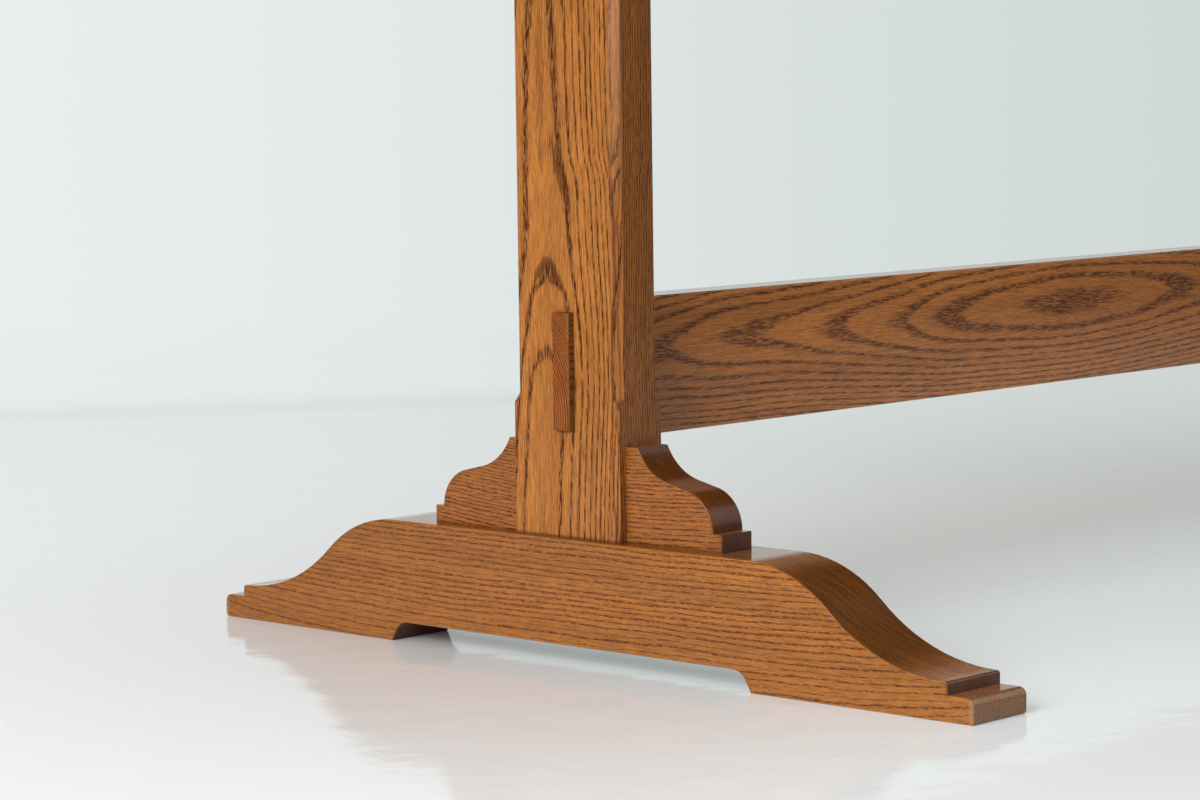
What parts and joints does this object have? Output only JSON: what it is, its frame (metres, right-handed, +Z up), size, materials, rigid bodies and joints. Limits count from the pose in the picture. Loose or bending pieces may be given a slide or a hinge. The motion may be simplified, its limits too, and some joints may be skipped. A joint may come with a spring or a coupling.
{
  "type": "trestle dining table",
  "caption": "Oak trestle dining table: shaped feet with knee brackets, chamfered posts, a through-tenoned stretcher and a boarded top.",
  "frame": {"origin": "on the floor, under the middle of the top", "axes": "+X along the table, +Y across it to the back, +Z up"},
  "size_m": [2, 0.9, 0.75],
  "materials": {
    "stained_oak": "satin lacquer",
    "bare_oak": "planed, glued",
    "bare_beech": "turned, glued",
    "screw_steel": "zinc plated"
  },
  "bodies": {
    "root": {"left_foot": "stained_oak", "left_post": "stained_oak", "left_bearer": "stained_oak", "left_front_bracket": "stained_oak", "left_back_bracket": "stained_oak", "right_foot": "stained_oak", "right_post": "stained_oak", "right_bearer": "stained_oak", "right_front_bracket": "stained_oak", "right_back_bracket": "stained_oak", "stretcher": "stained_oak", "top_board_1": "stained_oak", "top_board_2": "stained_oak", "top_board_3": "stained_oak", "top_board_4": "stained_oak", "top_board_5": "stained_oak", "top_board_6": "stained_oak", "top_tongue_1": "bare_oak", "top_tongue_2": "bare_oak", "top_tongue_3": "bare_oak", "top_tongue_4": "bare_oak", "top_tongue_5": "bare_oak", "left_bracket_dowels": "bare_beech", "left_top_screws": "screw_steel", "left_top_washers": "screw_steel", "right_bracket_dowels": "bare_beech", "right_top_screws": "screw_steel", "right_top_washers": "screw_steel"}
  },
  "joints": []
}
